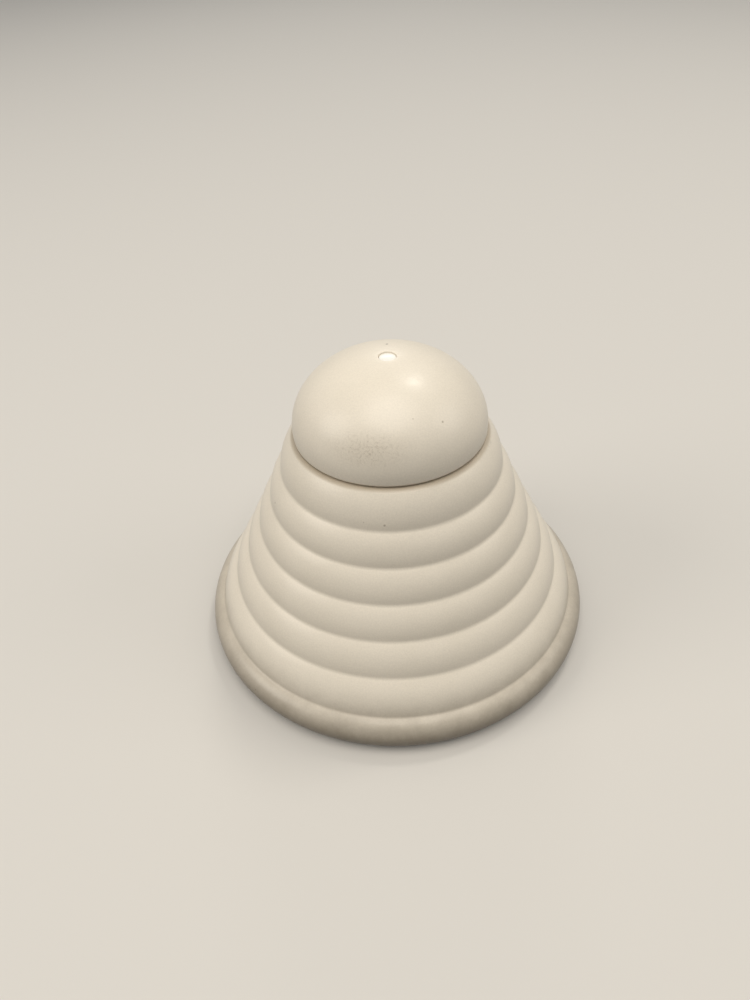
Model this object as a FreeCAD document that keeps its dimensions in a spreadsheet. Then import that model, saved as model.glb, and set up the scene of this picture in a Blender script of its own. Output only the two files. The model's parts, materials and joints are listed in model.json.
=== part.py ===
# Bell-shaped pepper mill: a ribbed body with a rolled rim, and a domed head that is turned to grind.
# The head drives a square spindle. The spindle turns a ceramic cone inside a ceramic ring, and a knob
# under the cone lifts it against a spring for a finer grind. The head pulls off upwards for filling.
# Origin: centre of the foot, on the surface the mill stands on. +Z is the turning axis. Millimetres.
import FreeCAD, Part

import os
import re

import Sketcher
from FreeCAD import Placement, Rotation, Vector

# Driving dimensions: alias, value, what it is.
SIZES = [
    ("rim_overhang", 3.5, "how far the rolled rim stands out past the lowest crease"),
    ("rim_rise", 8.5, "height of the rolled rim from its lower to its upper edge"),
    ("rim_lip", 0.6, "wall of the rim outside the foot's groove"),
    ("foot_stand", 0.5, "gap under the rim, left by the foot ring"),
    ("skirt_radius", 46.0, "radius of the lowest crease, where the ribs meet the rim"),
    ("neck_radius", 22.8, "radius of the body's upper edge"),
    ("flare_sag", 1.1, "how far the creases hang inside a straight cone at mid height"),
    ("lower_rib", 8.2, "height of the lowest rib"),
    ("middle_rib", 7.7, "height of each of the four middle ribs"),
    ("upper_rib", 8.5, "height of the highest rib"),
    ("rib_bulge", 0.88, "rise of each rib's arc over its chord"),
    ("crease_fillet", 0.45, "fillet along the creases between the ribs"),
    ("rim_fillet", 0.9, "fillet along the crease over the rim"),
    ("shell_wall", 2.6, "wall of the body"),
    ("shoulder_wall", 3.0, "thickness of the body's shoulder under the head"),
    ("mouth_radius", 16.6, "filling mouth"),
    ("head_gap", 0.3, "gap between the body's shoulder and the head"),
    ("glide_depth", 0.7, "depth of the glide ring's groove in the shoulder"),
    ("glide_play", 0.05, "running gap between the glide ring and the head"),
    ("glide_reach", 0.4, "how far the glide ring reaches past the head's plate"),
    ("dome_radius", 22.4, "radius of the head at its widest"),
    ("dome_rise", 16.5, "height of the head above its widest"),
    ("dome_waist", 2.4, "height of the head's widest above the body's shoulder"),
    ("dome_wall", 2.6, "wall of the head"),
    ("plug_radius", 1.95, "plug over the crown screw"),
    ("plug_depth", 1.0, "thickness of that plug"),
    ("plug_recess", 0.25, "depth of the plug's top below the crown"),
    ("plug_crown", 0.04, "rise of the plug's polished top"),
    ("plug_edge", 0.2, "drop from the plug's middle to its edge"),
    ("crown_screw_radius", 1.0, "shank of the screw under the plug"),
    ("crown_screw_head", 1.2, "height of that screw's head"),
    ("crown_screw_point", 0.8, "length of its point"),
    ("crown_drive_depth", 0.7, "depth of its hexagonal drive"),
    ("crown_boss_wall", 2.5, "wall of the head's boss around the plug"),
    ("plate_level", 5.0, "underside of the base plate above the table"),
    ("plate_wall", 2.5, "thickness of the base plate"),
    ("foot_width", 2.0, "radial width of the rubber foot"),
    ("foot_height", 2.4, "height of the rubber foot"),
    ("foot_inset", 1.1, "wall between the foot's groove and the rim's inner side"),
    ("base_screw_count", 4, "screws that hold the base plate"),
    ("base_boss_radius", 3.2, "bosses for those screws"),
    ("base_boss_inset", 8.0, "distance from the lowest crease in to those screws"),
    ("boss_headroom", 1.0, "distance from the second crease down to the tops of those bosses"),
    ("pilot_cap", 1.5, "closed end of those bosses"),
    ("housing_screw_count", 3, "screws that hold the grinder"),
    ("housing_boss_radius", 2.8, "bosses for those screws"),
    ("housing_boss_gap", 1.3, "gap between those bosses and the funnel's skirt"),
    ("housing_boss_height", 4.5, "height of those bosses over the flange"),
    ("housing_boss_cap", 1.0, "closed end of those bosses"),
    ("flange_margin", 0.4, "edge of the housing's flange past its bosses"),
    ("screw_radius", 1.25, "shank of all M2.5 thread-forming screws"),
    ("screw_head_radius", 2.4, "head of those screws"),
    ("screw_head_height", 1.5, "height of those heads"),
    ("base_screw_length", 6.5, "length of the base and housing screws over their seats"),
    ("head_screw_length", 7.0, "length of the head's screws over their seats"),
    ("burr_radius", 16.0, "outside of the ceramic ring"),
    ("burr_height", 12.0, "height of the ceramic ring"),
    ("burr_level", 10.5, "underside of the ceramic ring"),
    ("burr_outlet_radius", 13.1, "bore of the ceramic ring at its lower edge, on the crests"),
    ("burr_throat_height", 7.0, "height of the narrowest bore above the ring's lower edge"),
    ("burr_slope", 0.375, "radius the grinding cones gain per unit of height going down"),
    ("burr_upper_wall", 2.4, "wall of the ceramic ring at its upper edge"),
    ("ring_flute_depth", 0.8, "depth of the ring's flutes at its lower edge"),
    ("ring_flute_half", 0.9, "half width of those flutes"),
    ("ring_flute_twist", 16, "turn of those flutes up to the throat, in degrees"),
    ("retainer_width", 1.35, "radial width of the ring's retainer"),
    ("retainer_height", 1.2, "thickness of that retainer"),
    ("grind_gap", 0.8, "radial gap between the crests, at the coarsest setting"),
    ("cone_drop", 1.0, "how far the cone reaches below the ring"),
    ("coarse_flutes", 6, "feeding flutes of the cone"),
    ("fine_flutes", 24, "milling flutes of the cone, and of the ring"),
    ("coarse_start", 4.0, "height over the cone's foot at which the coarse flutes start"),
    ("coarse_foot_depth", 0.3, "depth of the coarse flutes at their foot"),
    ("coarse_top_depth", 1.3, "depth of the coarse flutes at the cone's top"),
    ("coarse_half", 2.2, "half width of the coarse flutes"),
    ("coarse_twist", -28, "turn of the coarse flutes, in degrees"),
    ("fine_reach", 6.0, "height over the cone's foot to which the fine flutes run"),
    ("fine_foot_depth", 0.9, "depth of the fine flutes at their foot"),
    ("fine_top_depth", 0.25, "depth of the fine flutes at their top"),
    ("fine_half", 0.8, "half width of the fine flutes"),
    ("fine_twist", -14, "turn of the fine flutes, in degrees"),
    ("housing_wall", 2.3, "wall of the grinder housing"),
    ("housing_flange", 2.5, "thickness of the housing's flange"),
    ("cup_step", 1.5, "ledge of the housing over the ceramic ring"),
    ("bridge_clearance", 4.1, "height from the ceramic ring to the bridge"),
    ("bridge_height", 3.0, "height of the three arms"),
    ("arm_width", 5.0, "width of each arm"),
    ("hub_height", 5.0, "height of the bridge's hub"),
    ("hub_radius", 7.0, "outside of that hub"),
    ("bush_wall", 1.4, "wall of the bush in that hub"),
    ("bush_flange_inset", 0.5, "edge of that hub past the bush's flange"),
    ("funnel_wall", 1.6, "wall of the hopper funnel"),
    ("funnel_fall", 8.0, "fall of the funnel from the wall to the grinder"),
    ("funnel_gap", 0.5, "gap between the funnel's edge and the body's wall"),
    ("lip_inset", 0.7, "distance of the funnel's lip outside the housing's bore"),
    ("lip_rise", 1.2, "height of the funnel's lip over the housing"),
    ("spindle_width", 6.0, "width across the spindle's flats"),
    ("spindle_corner", 3.8, "radius turned on the spindle's corners, its bearing surface"),
    ("socket_air", 1.0, "air over the spindle's top, in the drive socket"),
    ("stud_radius", 2.5, "M5 stud at the spindle's foot"),
    ("stud_overrun", 0.3, "stud past the lower clip, and above the cone's foot at the finest setting"),
    ("upper_groove", 0.5, "depth of the upper clip's groove"),
    ("lower_groove", 0.4, "depth of the lower clip's groove"),
    ("upper_clip_reach", 1.2, "how far the upper clip stands out past the spindle"),
    ("lower_clip_reach", 0.9, "how far the lower clip stands out past the stud"),
    ("running_fit", 0.06, "radial clearance of the spindle in its bush, hub and socket"),
    ("grind_travel", 1.2, "travel of the cone from coarse to fine"),
    ("rotor_hub_radius", 5.5, "outside of the cone's drive hub"),
    ("rotor_hub_height", 11.5, "height of that hub"),
    ("rotor_flange_radius", 9.0, "corners of the hub's hexagonal flange"),
    ("rotor_flange_height", 1.5, "thickness of that flange"),
    ("spring_wire", 0.8, "wire of the cone's spring"),
    ("spring_turns", 4, "turns of that spring"),
    ("washer_height", 0.5, "thickness of the steel washers"),
    ("clip_height", 0.6, "thickness of the retaining clips"),
    ("knob_radius", 9.0, "outside of the grind knob"),
    ("knob_height", 3.9, "height of that knob"),
    ("knob_grips", 8, "finger grooves around that knob"),
    ("knob_chamfer", 0.5, "chamfer under that knob"),
    ("knob_sink", 0.2, "depth of the knob's top below its insert's"),
    ("grip_radius", 2.1, "radius of those grooves"),
    ("grip_offset", 1.1, "distance of those grooves' centres outside the knob"),
    ("nut_radius", 4.5, "outside of the knob's brass insert"),
    ("nut_height", 2.8, "height of that insert"),
    ("clip_air", 0.3, "gap between that insert and the clip under it"),
    ("head_plate_wall", 3.0, "thickness of the plate that closes the head"),
    ("head_plate_play", 0.6, "radial gap between that plate and the head's wall"),
    ("collar_wall", 1.2, "wall of the plate's collar around the drive socket"),
    ("collar_height", 5.0, "height of that collar"),
    ("head_screw_count", 3, "screws that hold that plate"),
    ("head_screw_circle", 10.6, "radius of the circle of those screws"),
    ("head_boss_wall", 1.6, "wall of the head's bosses around those screws"),
    ("spigot_depth", 3.0, "how far the head's spigot reaches into the mouth"),
    ("spigot_wall", 2.8, "wall of that spigot"),
    ("spigot_gap", 0.4, "radial gap between spigot and mouth"),
    ("seal_wire", 0.85, "section radius of the O-ring on the spigot"),
    ("seal_gap", 0.06, "radial gap left between the O-ring and the mouth"),
    ("socket_radius", 6.0, "outside of the drive socket"),
    ("socket_flange_width", 1.4, "radial width of that socket's flange"),
    ("socket_flange_height", 1.0, "thickness of that flange"),
    ("socket_cap", 2.0, "closed end of the drive socket"),
    ("crown_boss_height", 2.7, "height of the head's boss from the socket to the crown screw's seat"),
    ("glide_width", 2.0, "radial width of the glide ring"),
    ("fit", 0.1, "clearance of pieces that are fitted and don't move"),
]

# Levels and radii worked out from the driving dimensions.
LAYOUT = [
    ("rim_top", "foot_stand + rim_rise", "level of the lowest crease"),
    ("rim_radius", "skirt_radius + rim_overhang", "outermost radius of the rolled rim"),
    ("groove_inner", "skirt_radius - shell_wall + foot_inset", "inner side of the foot's groove"),
    ("groove_outer", "groove_inner + foot_width + 2 * fit", "outer side of the foot's groove"),
    ("rim_foot", "groove_outer + rim_lip", "lower edge of the rim"),
    ("neck_level", "rim_top + lower_rib + 4 * middle_rib + upper_rib", "level of the body's shoulder"),
    ("plate_top", "plate_level + plate_wall", "upper side of the base plate"),
    ("plate_radius", "skirt_radius - shell_wall - 3 * fit", "edge of the base plate"),
    ("base_circle", "skirt_radius - base_boss_inset", "circle of the base screws"),
    ("housing_radius", "burr_radius + housing_wall", "outside of the grinder housing"),
    ("housing_circle", "housing_radius + funnel_wall + housing_boss_radius + housing_boss_gap",
     "circle of its screws"),
    ("flange_top", "plate_top + housing_flange", "upper side of the housing's flange"),
    ("burr_top", "burr_level + burr_height", "upper side of the ceramic ring"),
    ("hub_level", "burr_top + bridge_clearance", "underside of the bridge"),
    ("housing_top", "hub_level + bridge_height", "upper side of the housing"),
    ("hub_top", "hub_level + hub_height", "upper side of the bridge's hub"),
    ("cup_radius", "burr_radius - cup_step", "bore of the housing above the ceramic ring"),
    ("rotor_level", "burr_level - cone_drop", "underside of the cone"),
    ("throat_radius", "burr_outlet_radius - burr_slope * burr_throat_height", "narrowest bore of the ring"),
    ("cone_radius", "burr_outlet_radius + burr_slope * cone_drop - grind_gap", "cone at its foot"),
    ("cone_tip", "cone_radius - burr_slope * (burr_height + cone_drop)", "cone at its top"),
    ("hub_bore_corner", "spindle_corner + running_fit", "radius of the sockets' rounded corners"),
    ("spring_radius", "rotor_hub_radius - spring_wire / 2 - 0.2", "mean radius of the spring"),
    ("spring_seat", "rotor_level + rotor_hub_height", "foot of the spring"),
    ("spring_top", "hub_level - fit - washer_height", "top of the spring, under its washer"),
    ("nut_top", "rotor_level - washer_height", "top of the brass insert"),
    ("nut_foot", "nut_top - nut_height", "underside of the brass insert"),
    ("clip_foot", "nut_foot - clip_air - clip_height", "underside of the clip below the insert"),
    ("knob_foot", "nut_top - knob_sink - knob_height", "underside of the grind knob"),
    ("dome_level", "neck_level + dome_waist", "level of the head's widest"),
    ("crown_level", "dome_level + dome_rise", "top of the head"),
    ("head_foot", "neck_level + head_gap", "lower edge of the head"),
    ("foot_angle", "-asin((dome_level - head_foot) / dome_rise) / (1 deg)", "the head's lower edge on its oval"),
    ("head_plate_radius", "dome_radius - dome_wall - head_plate_play", "edge of the plate in the head"),
    ("head_plate_top", "head_foot + head_plate_wall", "upper side of that plate"),
    ("spigot_radius", "mouth_radius - spigot_gap", "outside of the head's spigot"),
    ("glide_outer", "head_plate_radius + glide_reach", "outside of the glide ring"),
    ("plug_top", "crown_level - plug_recess", "top of the crown plug"),
    ("crown_seat", "plug_top - plug_depth - fit / 2 - crown_screw_head", "seat of the crown screw's head"),
    ("socket_top", "crown_seat - crown_boss_height", "top of the drive socket"),
    ("spindle_top", "socket_top - socket_cap - socket_air", "top of the spindle"),
]

doc = FreeCAD.newDocument("pepper_mill")
PARTS = []
SHEET_OF = {}


def write_sheet(name, rows, marker):
    """Write alias rows into a new spreadsheet; marker precedes formulas."""
    sheet = doc.addObject("Spreadsheet::Sheet", name)
    for row, (alias, content, note) in enumerate(rows, start=1):
        sheet.set(f"A{row}", alias)
        sheet.set(f"B{row}", marker + bound(str(content)))
        sheet.set(f"C{row}", note)
        sheet.setAlias(f"B{row}", alias)
        SHEET_OF[alias] = name + "."
    doc.recompute()
    return sheet


def bound(formula):
    """Formula with each size name led by the name of the sheet that holds it."""
    return re.sub(r"[a-z_]+", lambda word: SHEET_OF.get(word.group(0), "") + word.group(0), formula)


def value(formula):
    """Number that a formula of sheet names has now."""
    result = layout.evalExpression(bound(formula))
    return float(getattr(result, "Value", result))


def origin(body, role):
    """Origin plane or axis of a body, such as XZ_Plane or Z_Axis."""
    return next(feature for feature in body.Origin.OriginFeatures if feature.Role == role)


def new_body(label):
    """Empty body of one named sub-part."""
    body = doc.addObject("PartDesign::Body", label)
    PARTS.append(body)
    return body


def new_sketch(body, name, plane="XY_Plane", level="0", across="0", turn="0"):
    """Sketch on an origin plane, raised to a level, shifted across along X and turned about Z (degrees)."""
    sketch = body.newObject("Sketcher::SketchObject", name)
    sketch.AttachmentSupport = [(origin(body, plane), "")]
    sketch.MapMode = "FlatFace"
    sketch.AttachmentOffset = Placement(Vector(0, 0, 0), Rotation(Vector(0, 0, 1), value(turn)))
    sketch.setExpression("AttachmentOffset.Base.x", bound(across))
    if plane == "XY_Plane":
        sketch.setExpression("AttachmentOffset.Base.z", bound(level))
    return sketch


def fix_point(sketch, edge, end, across, up):
    """Tie an edge's end to the two formulas, measured from the sketch's origin."""
    for direction, axis, formula in (("DistanceX", -2, across), ("DistanceY", -1, up)):
        size = value(formula)
        if abs(size) < 1e-9:
            sketch.addConstraint(Sketcher.Constraint("PointOnObject", edge, end, axis))
            continue
        ends = (-1, 1, edge, end) if size > 0 else (edge, end, -1, 1)
        index = sketch.addConstraint(Sketcher.Constraint(direction, *ends, abs(size)))
        sketch.setExpression(f"Constraints[{index}]", bound(formula if size > 0 else f"-({formula})"))


def fix_radius(sketch, edge, formula):
    """Tie a circle's or an arc's radius to a formula."""
    index = sketch.addConstraint(Sketcher.Constraint("Radius", edge, value(formula)))
    sketch.setExpression(f"Constraints[{index}]", bound(formula))


def outline(sketch, corners):
    """Closed, fully constrained outline.

    A corner is (across, up) or (across, up, bulge), all formulas; bulge is the rise of an arc to the next
    corner, on the left of the way there.
    """
    places = [Vector(value(corner[0]), value(corner[1]), 0) for corner in corners]
    ends = []
    for number, corner in enumerate(corners):
        start, finish = places[number], places[(number + 1) % len(corners)]
        if len(corner) == 2:
            ends.append((sketch.addGeometry(Part.LineSegment(start, finish)), 1, 2))
            continue
        way = finish - start
        left = Vector(-way.y, way.x, 0).normalize()
        middle = (start + finish) * 0.5 + left * value(corner[2])
        edge = sketch.addGeometry(Part.Arc(start, middle, finish))
        forward = (sketch.getPoint(edge, 1) - start).Length < 1e-6
        ends.append((edge, 1, 2) if forward else (edge, 2, 1))
    for number, corner in enumerate(corners):
        edge, first, last = ends[number]
        follower, follower_first, _ = ends[(number + 1) % len(corners)]
        sketch.addConstraint(Sketcher.Constraint("Coincident", edge, last, follower, follower_first))
        fix_point(sketch, edge, first, corner[0], corner[1])
        if len(corner) == 3:
            x, y = corners[(number + 1) % len(corners)][:2]
            chord = f"((({x}) - ({corner[0]}))^2 + (({y}) - ({corner[1]}))^2)"
            fix_radius(sketch, edge, f"{chord} / (8 * ({corner[2]})) + ({corner[2]}) / 2")


def circle(sketch, across, up, radius):
    """Fully constrained circle."""
    centre = Vector(value(across), value(up), 0)
    edge = sketch.addGeometry(Part.Circle(centre, Vector(0, 0, 1), value(radius)))
    fix_point(sketch, edge, 3, across, up)
    fix_radius(sketch, edge, radius)


def turned(body, name, corners, across="0", kind="Revolution"):
    """Revolution or groove of an outline about the vertical line at a distance across from the axis."""
    sketch = new_sketch(body, name + "_section", "XZ_Plane", across=across)
    outline(sketch, corners)
    feature = body.newObject("PartDesign::" + kind, name)
    feature.Profile = sketch
    feature.ReferenceAxis = (sketch, ["V_Axis"])
    feature.Angle = 360
    doc.recompute()
    return feature


def raised(body, name, sketch, height):
    """Pad of a sketch, upwards."""
    feature = body.newObject("PartDesign::Pad", name)
    feature.Profile = sketch
    feature.setExpression("Length", bound(height))
    doc.recompute()
    return feature


def sunk(body, name, sketch, depth):
    """Pocket of a sketch, cutting upwards from the sketch's plane."""
    before = body.Shape.Volume
    feature = body.newObject("PartDesign::Pocket", name)
    feature.Profile = sketch
    feature.Reversed = True
    feature.setExpression("Length", bound(depth))
    doc.recompute()
    if body.Shape.Volume >= before:
        raise RuntimeError(f"{name} cuts nothing from {body.Label}")
    return feature


def around(body, name, features, count):
    """Polar pattern of features about the mill's axis."""
    pattern = body.newObject("PartDesign::PolarPattern", name)
    pattern.Originals = features
    pattern.Axis = (origin(body, "Z_Axis"), [""])
    pattern.Angle = 360
    pattern.setExpression("Occurrences", bound(count))
    body.Tip = pattern
    doc.recompute()
    return pattern


def tube(label, inner, outer, low, high):
    """Plain ring, bush or washer: one body turned from a rectangle."""
    body = new_body(label)
    turned(body, label + "_ring", [(inner, low), (outer, low), (outer, high), (inner, high)])
    return body


def square(width, corner):
    """Outline of a square bar whose four corners are turned to a radius."""
    half = f"({width}) / 2"
    side = f"sqrt(({corner})^2 - ({half})^2)"
    rise = f"({corner}) - (({half}) + {side}) / sqrt(2)"
    return [
        (half, side), (half, f"-{side}", f"{rise}"), (side, f"-{half}"), (f"-{side}", f"-{half}", f"{rise}"),
        (f"-{half}", f"-{side}"), (f"-{half}", side, f"{rise}"), (f"-{side}", half), (side, half, f"{rise}"),
    ]


def hexagon(corner):
    """Outline of a hexagon from the radius of its corners."""
    return [(f"({corner}) * cos({60 * turn})", f"({corner}) * sin({60 * turn})") for turn in range(6)]


def screws(label, across, seat, count, length, countersunk):
    """Ring of upright screws driven from below, each with a cross recess; seat is over their heads."""
    body = new_body(label)
    foot = f"({seat} - screw_head_height)"
    head_edge = [] if countersunk else [("screw_head_radius", seat)]
    screw = turned(body, label + "_blank", [("0", foot), ("screw_head_radius", foot)] + head_edge + [
        ("screw_radius", seat), ("screw_radius", f"{seat} + {length} - screw_radius"),
        ("0", f"{seat} + {length}"),
    ], across)
    arm, half = "screw_head_radius * 0.6", "screw_head_radius * 0.14"
    recess = new_sketch(body, label + "_cross", level=foot, across=across)
    outline(recess, [
        (half, half), (half, arm), (f"-{half}", arm), (f"-{half}", half), (f"-{arm}", half),
        (f"-{arm}", f"-{half}"), (f"-{half}", f"-{half}"), (f"-{half}", f"-{arm}"), (half, f"-{arm}"),
        (half, f"-{half}"), (arm, f"-{half}"), (arm, half),
    ])
    cross = sunk(body, label + "_recess", recess, "screw_head_height * 0.6")
    around(body, label + "_pattern", [screw, cross], count)


def clip(label, inner, outer, low):
    """Retaining clip: a ring with a mouth to one side."""
    body = tube(label, inner, outer, low, f"{low} + clip_height")
    mouth = new_sketch(body, label + "_gap", level=low)
    outline(mouth, [
        (f"{inner} * 0.3", f"-{inner} * 0.6"), (f"{outer} + 1", f"-{inner} * 0.6"),
        (f"{outer} + 1", f"{inner} * 0.6"), (f"{inner} * 0.3", f"{inner} * 0.6"),
    ])
    sunk(body, label + "_mouth", mouth, "clip_height")
    return body


def crease(number):
    """Radius and level formulas of a crease, counted from the rim (0) up to the neck (6)."""
    above = {0: "0", 6: "lower_rib + 4 * middle_rib + upper_rib"}.get(
        number, f"(lower_rib + {number - 1} * middle_rib)")
    share = f"(({above}) / (neck_level - rim_top))"
    hang = f"flare_sag * 4 * {share} * (1 - {share})"
    radius = f"(skirt_radius - (skirt_radius - neck_radius) * {share} - {hang})"
    return radius, f"(rim_top + {above})"


def round_edges(body, name, rings, radius):
    """Fillet of the circular edges whose radius and level match one of the rings' formulas."""
    wanted = [(value(across), value(level)) for across, level in rings]
    names = []
    for number, edge in enumerate(body.Shape.Edges, start=1):
        if not isinstance(edge.Curve, Part.Circle):
            continue
        here = (edge.Curve.Radius, edge.Curve.Center.z)
        if any(abs(here[0] - ring[0]) < 0.01 and abs(here[1] - ring[1]) < 0.01 for ring in wanted):
            names.append(f"Edge{number}")
    base = body.Tip
    fillet = body.newObject("PartDesign::Fillet", name)
    fillet.Base = (base, names)
    fillet.setExpression("Radius", bound(radius))
    doc.recompute()
    return fillet


def make_shell():
    """Ribbed body with rim, shoulder, glide groove and four screw bosses."""
    body = new_body("body_shell")
    creases = [crease(number) for number in range(7)]
    ribs = [(radius, level, "rib_bulge") for radius, level in reversed(creases[1:])]
    rim_bead = [creases[0] + ("(rim_radius - (skirt_radius + rim_foot) / 2)",)]
    inside = [(f"{radius} - shell_wall", level) for radius, level in creases[:6]]
    groove_top = "(foot_height + fit)"
    under_shoulder = "(neck_level - shoulder_wall)"
    glide_inner, glide_floor = "(glide_outer - glide_width - fit)", "(neck_level - glide_depth)"
    turned(body, "ribbed_wall", ribs + rim_bead + [
        ("rim_foot", "foot_stand"),
        ("groove_outer", "foot_stand"), ("groove_outer", groove_top), ("groove_inner", groove_top),
        ("groove_inner", "foot_stand"), ("(skirt_radius - shell_wall)", "foot_stand"),
    ] + inside + [
        ("(neck_radius - shell_wall / 2)", under_shoulder), ("mouth_radius", under_shoulder),
        ("mouth_radius", "neck_level"), (glide_inner, "neck_level"), (glide_inner, glide_floor),
        ("(glide_outer + fit)", glide_floor), ("(glide_outer + fit)", "neck_level"),
    ])
    round_edges(body, "crease_fillets", creases[1:], "crease_fillet")
    round_edges(body, "rim_fillet", creases[:1], "rim_fillet")
    bosses = new_sketch(body, "boss_circle", level="plate_top")
    circle(bosses, "base_circle", "0", "base_boss_radius")
    boss = raised(body, "screw_boss", bosses, "rim_top + lower_rib - boss_headroom - plate_top")
    pilots = new_sketch(body, "pilot_circle", level="plate_top")
    circle(pilots, "base_circle", "0", "screw_radius")
    pilot = sunk(body, "screw_pilot", pilots, "rim_top + lower_rib - boss_headroom - pilot_cap - plate_top")
    around(body, "screw_bosses", [boss, pilot], "base_screw_count")


def make_base():
    """Base plate with its countersunk screw holes, screws and rubber foot."""
    tube("foot_ring", "(groove_inner + fit)", "(groove_inner + fit + foot_width)", "0", "foot_height")
    body = tube("base_plate", "burr_radius", "plate_radius", "plate_level", "plate_top")
    for name, across, count in (("base", "base_circle", "base_screw_count"),
                                ("housing", "housing_circle", "housing_screw_count")):
        hole = turned(body, name + "_hole", [
            ("0", "plate_level - 1"), ("screw_head_radius + fit", "plate_level - 1"),
            ("screw_head_radius + fit", "plate_level"),
            ("screw_radius + fit", "plate_level + screw_head_height"),
            ("screw_radius + fit", "plate_top + 1"), ("0", "plate_top + 1"),
        ], across, "Groove")
        around(body, name + "_holes", [hole], count)
    seat = "(plate_level + screw_head_height)"
    screws("base_screws", "base_circle", seat, "base_screw_count", "base_screw_length", True)
    screws("housing_screws", "housing_circle", seat, "housing_screw_count", "base_screw_length", True)


def make_housing():
    """Grinder housing: cup, flange with bosses, and a three-armed bridge over the ceramic ring."""
    body = new_body("grinder_housing")
    flange = "(housing_circle + housing_boss_radius + flange_margin)"
    turned(body, "cup", [
        ("burr_radius", "plate_top"), (flange, "plate_top"), (flange, "flange_top"),
        ("housing_radius", "flange_top"), ("housing_radius", "housing_top"), ("cup_radius", "housing_top"),
        ("cup_radius", "burr_top"), ("burr_radius", "burr_top"),
    ])
    arms = new_sketch(body, "arm_outline", level="hub_level")
    outline(arms, [
        ("0", "-arm_width / 2"), ("(cup_radius + 0.5)", "-arm_width / 2"),
        ("(cup_radius + 0.5)", "arm_width / 2"), ("0", "arm_width / 2"),
    ])
    arm = raised(body, "bridge_arm", arms, "bridge_height")
    around(body, "bridge_arms", [arm], "housing_screw_count")
    hub = new_sketch(body, "hub_circle", level="hub_level")
    circle(hub, "0", "0", "hub_radius")
    raised(body, "bridge_hub", hub, "hub_height")
    bore = new_sketch(body, "bush_circle", level="hub_level - 1")
    circle(bore, "0", "0", "hub_bore_corner + bush_wall + fit / 2")
    sunk(body, "bush_bore", bore, "hub_height + 2")
    bosses = new_sketch(body, "boss_circle", level="flange_top")
    circle(bosses, "housing_circle", "0", "housing_boss_radius")
    boss = raised(body, "screw_boss", bosses, "housing_boss_height")
    pilots = new_sketch(body, "pilot_circle", level="plate_top")
    circle(pilots, "housing_circle", "0", "screw_radius")
    pilot = sunk(body, "screw_pilot", pilots, "housing_flange + housing_boss_height - housing_boss_cap")
    around(body, "screw_bosses", [boss, pilot], "housing_screw_count")


def make_stator():
    """Ceramic ring with milling flutes in its flared bore, and the snap ring under it."""
    body = new_body("ring_burr")
    throat_level = "(burr_level + burr_throat_height)"
    turned(body, "ring", [
        ("burr_outlet_radius", "burr_level"), ("burr_radius - fit / 2", "burr_level"),
        ("burr_radius - fit / 2", "burr_top"), ("burr_radius - burr_upper_wall", "burr_top"),
        ("throat_radius", throat_level),
    ])
    depth, half = "ring_flute_depth", "ring_flute_half"
    low = new_sketch(body, "flute_low", level="burr_level - 0.5")
    outline(low, [(f"burr_outlet_radius + {depth}", "0"), ("burr_outlet_radius - 1", half),
                  ("burr_outlet_radius - 1", f"-{half}")])
    high = new_sketch(body, "flute_high", level=throat_level, turn="ring_flute_twist")
    outline(high, [(f"throat_radius + {depth} / 2", "0"), ("throat_radius - 1", half),
                   ("throat_radius - 1", f"-{half}")])
    around(body, "flutes", [lofted_cut(body, "flute", low, high)], "fine_flutes")
    retainer_outer = "(burr_radius - fit / 2)"
    tube("burr_retainer", f"({retainer_outer} - retainer_width)", retainer_outer,
         "(burr_level - retainer_height)", "burr_level")


def lofted_cut(body, name, low, high):
    """Straight-sided cut between two sketches at different levels."""
    cut = body.newObject("PartDesign::SubtractiveLoft", name)
    cut.Profile = low
    cut.Sections = [high]
    cut.Ruled = True
    doc.recompute()
    return cut


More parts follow.
